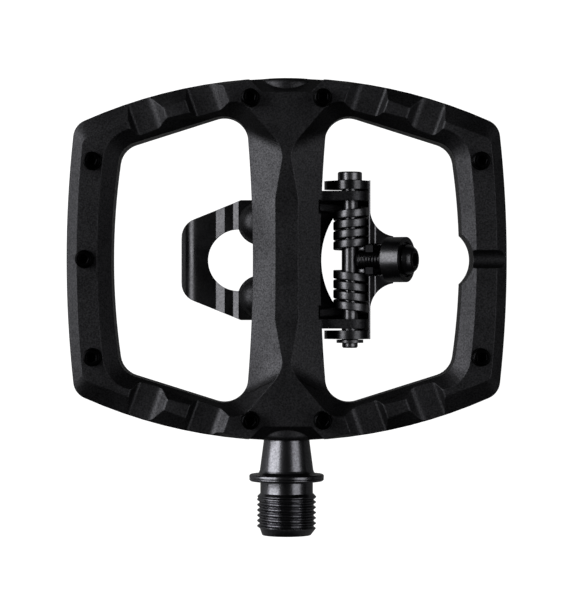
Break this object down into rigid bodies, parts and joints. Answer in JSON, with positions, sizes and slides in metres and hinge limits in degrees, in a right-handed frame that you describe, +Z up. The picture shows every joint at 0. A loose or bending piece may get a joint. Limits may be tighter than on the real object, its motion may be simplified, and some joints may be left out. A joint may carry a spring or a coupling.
{
  "type": "clipless pedal",
  "caption": "Left bicycle pedal: crowned open platform with pins on both faces, sprung clip for a shoe cleat on one face, steel spindle with a flange and threaded end.",
  "frame": {"origin": "on the spindle axis, in the flange face that seats on the crank", "axes": "+X to the rear of the platform, +Y outboard along the spindle, +Z up from the plain face with nine pins; the cleat clips in from below"},
  "size_m": [0.105, 0.1095, 0.0267],
  "materials": {
    "anodised_aluminium": "black anodised, bead blasted",
    "anodised_cap": "black anodised, turned",
    "black_steel": "black oxide",
    "satin_black_steel": "satin black, turned",
    "pin_steel": "dark ground steel",
    "spring_steel": "blued spring steel",
    "plain_steel": "turned, bright",
    "shield_steel": "pressed",
    "bearing_steel": "ground",
    "cage_brass": "pressed",
    "bush_plastic": "moulded",
    "seal_rubber": "matt"
  },
  "bodies": {
    "spindle_body": {"spindle": "satin_black_steel", "bearing_inner_races": "bearing_steel", "race_spacer": "plain_steel", "lock_washer": "plain_steel", "spindle_lock_nut": "plain_steel"},
    "platform": {"platform_body": "anodised_aluminium", "flat_side_pins": "black_steel", "clip_side_pins": "black_steel", "inboard_seal": "seal_rubber", "inboard_bush": "bush_plastic", "bearing_outer_races": "bearing_steel", "bearing_shields": "shield_steel", "end_cap": "anodised_cap", "end_cap_ring": "seal_rubber", "front_claw": "black_steel", "front_claw_screws": "black_steel", "pivot_pin": "pin_steel", "pivot_pin_clip": "spring_steel", "spring_outboard": "spring_steel", "spring_inboard": "spring_steel"},
    "cages": {"bearing_balls": "bearing_steel", "bearing_cages": "cage_brass"},
    "jaw": {"rear_jaw": "black_steel", "tension_ring": "spring_steel"},
    "adjuster": {"tension_screw": "black_steel"},
    "adjuster_nut": {"tension_nut": "black_steel"}
  },
  "joints": [
    {"name": "pedal_spin", "type": "hinge", "parent": "spindle_body", "child": "platform", "pos_m": [0, 0.0533, 0], "axis": [0, 1, 0], "continuous": true},
    {"name": "cage_spin", "type": "hinge", "parent": "spindle_body", "child": "cages", "pos_m": [0, 0.0845, 0], "axis": [0, 1, 0], "continuous": true},
    {"name": "jaw_pivot", "type": "hinge", "parent": "platform", "child": "jaw", "pos_m": [0.01535, 0.0533, -0.0035], "axis": [0, -1, 0], "range_deg": [0, 20], "stiffness_Nm_per_rad": 3, "springref_deg": -22.92, "deforming": ["spring_outboard", "spring_inboard"]},
    {"name": "tension_screw_turn", "type": "hinge", "parent": "jaw", "child": "adjuster", "pos_m": [0.01535, 0.0533, -0.0035], "axis": [0.891, 0, 0.454], "range_deg": [0, 1080]},
    {"name": "tension_nut_travel", "type": "slide", "parent": "jaw", "child": "adjuster_nut", "axis": [0.891, 0, 0.454], "range_m": [0, 0.0024]}
  ],
  "couplings": [
    {"joint": "cage_spin", "follows": "pedal_spin", "ratio": 0.602},
    {"joint": "tension_screw_turn", "follows": "tension_nut_travel", "rad_per_m": 7853.9}
  ]
}
